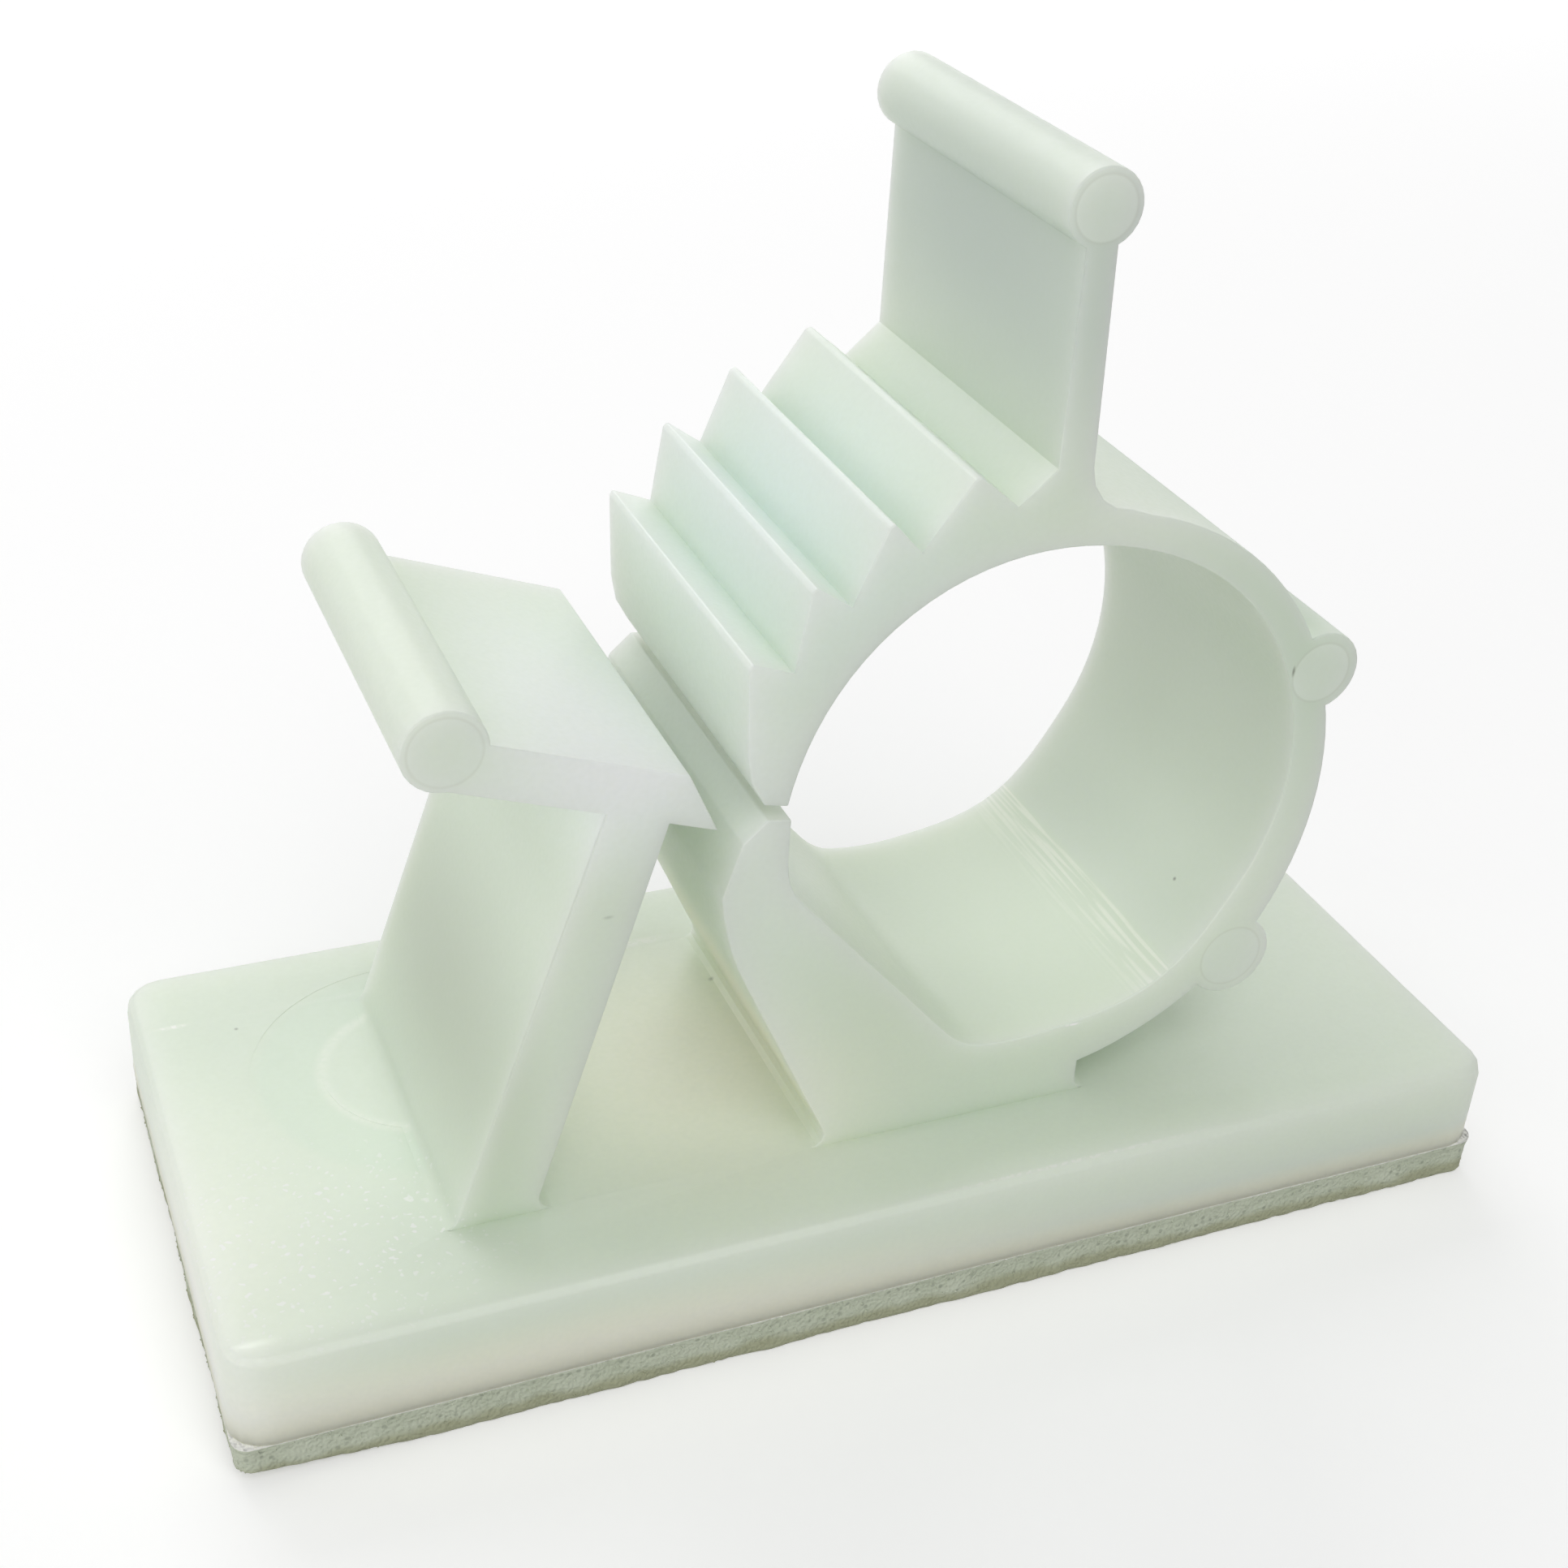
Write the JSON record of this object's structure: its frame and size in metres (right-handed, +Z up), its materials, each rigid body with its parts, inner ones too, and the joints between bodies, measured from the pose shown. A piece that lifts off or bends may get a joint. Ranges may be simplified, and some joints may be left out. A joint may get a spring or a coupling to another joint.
{
  "type": "adhesive cable clamp",
  "caption": "Small moulded cable clamp with a toothed ring strap, finger tab and hooked post on a rectangular base, stuck down by a foam pad under the base.",
  "frame": {"origin": "centre of the adhesive underside of the foam pad", "axes": "+Z up out of the base, +X along the base from the hooked post towards the hinged side of the ring, +Y along the bore of the ring, away from the side the picture shows"},
  "size_m": [0.0288, 0.0128, 0.0238],
  "materials": {
    "natural_nylon": "satin, milky translucent, as moulded",
    "grey_foam": "matt, fine-celled foam with a rough cut edge"
  },
  "bodies": {
    "root": {"clamp_body": "natural_nylon", "foam_pad": "grey_foam"}
  },
  "joints": []
}
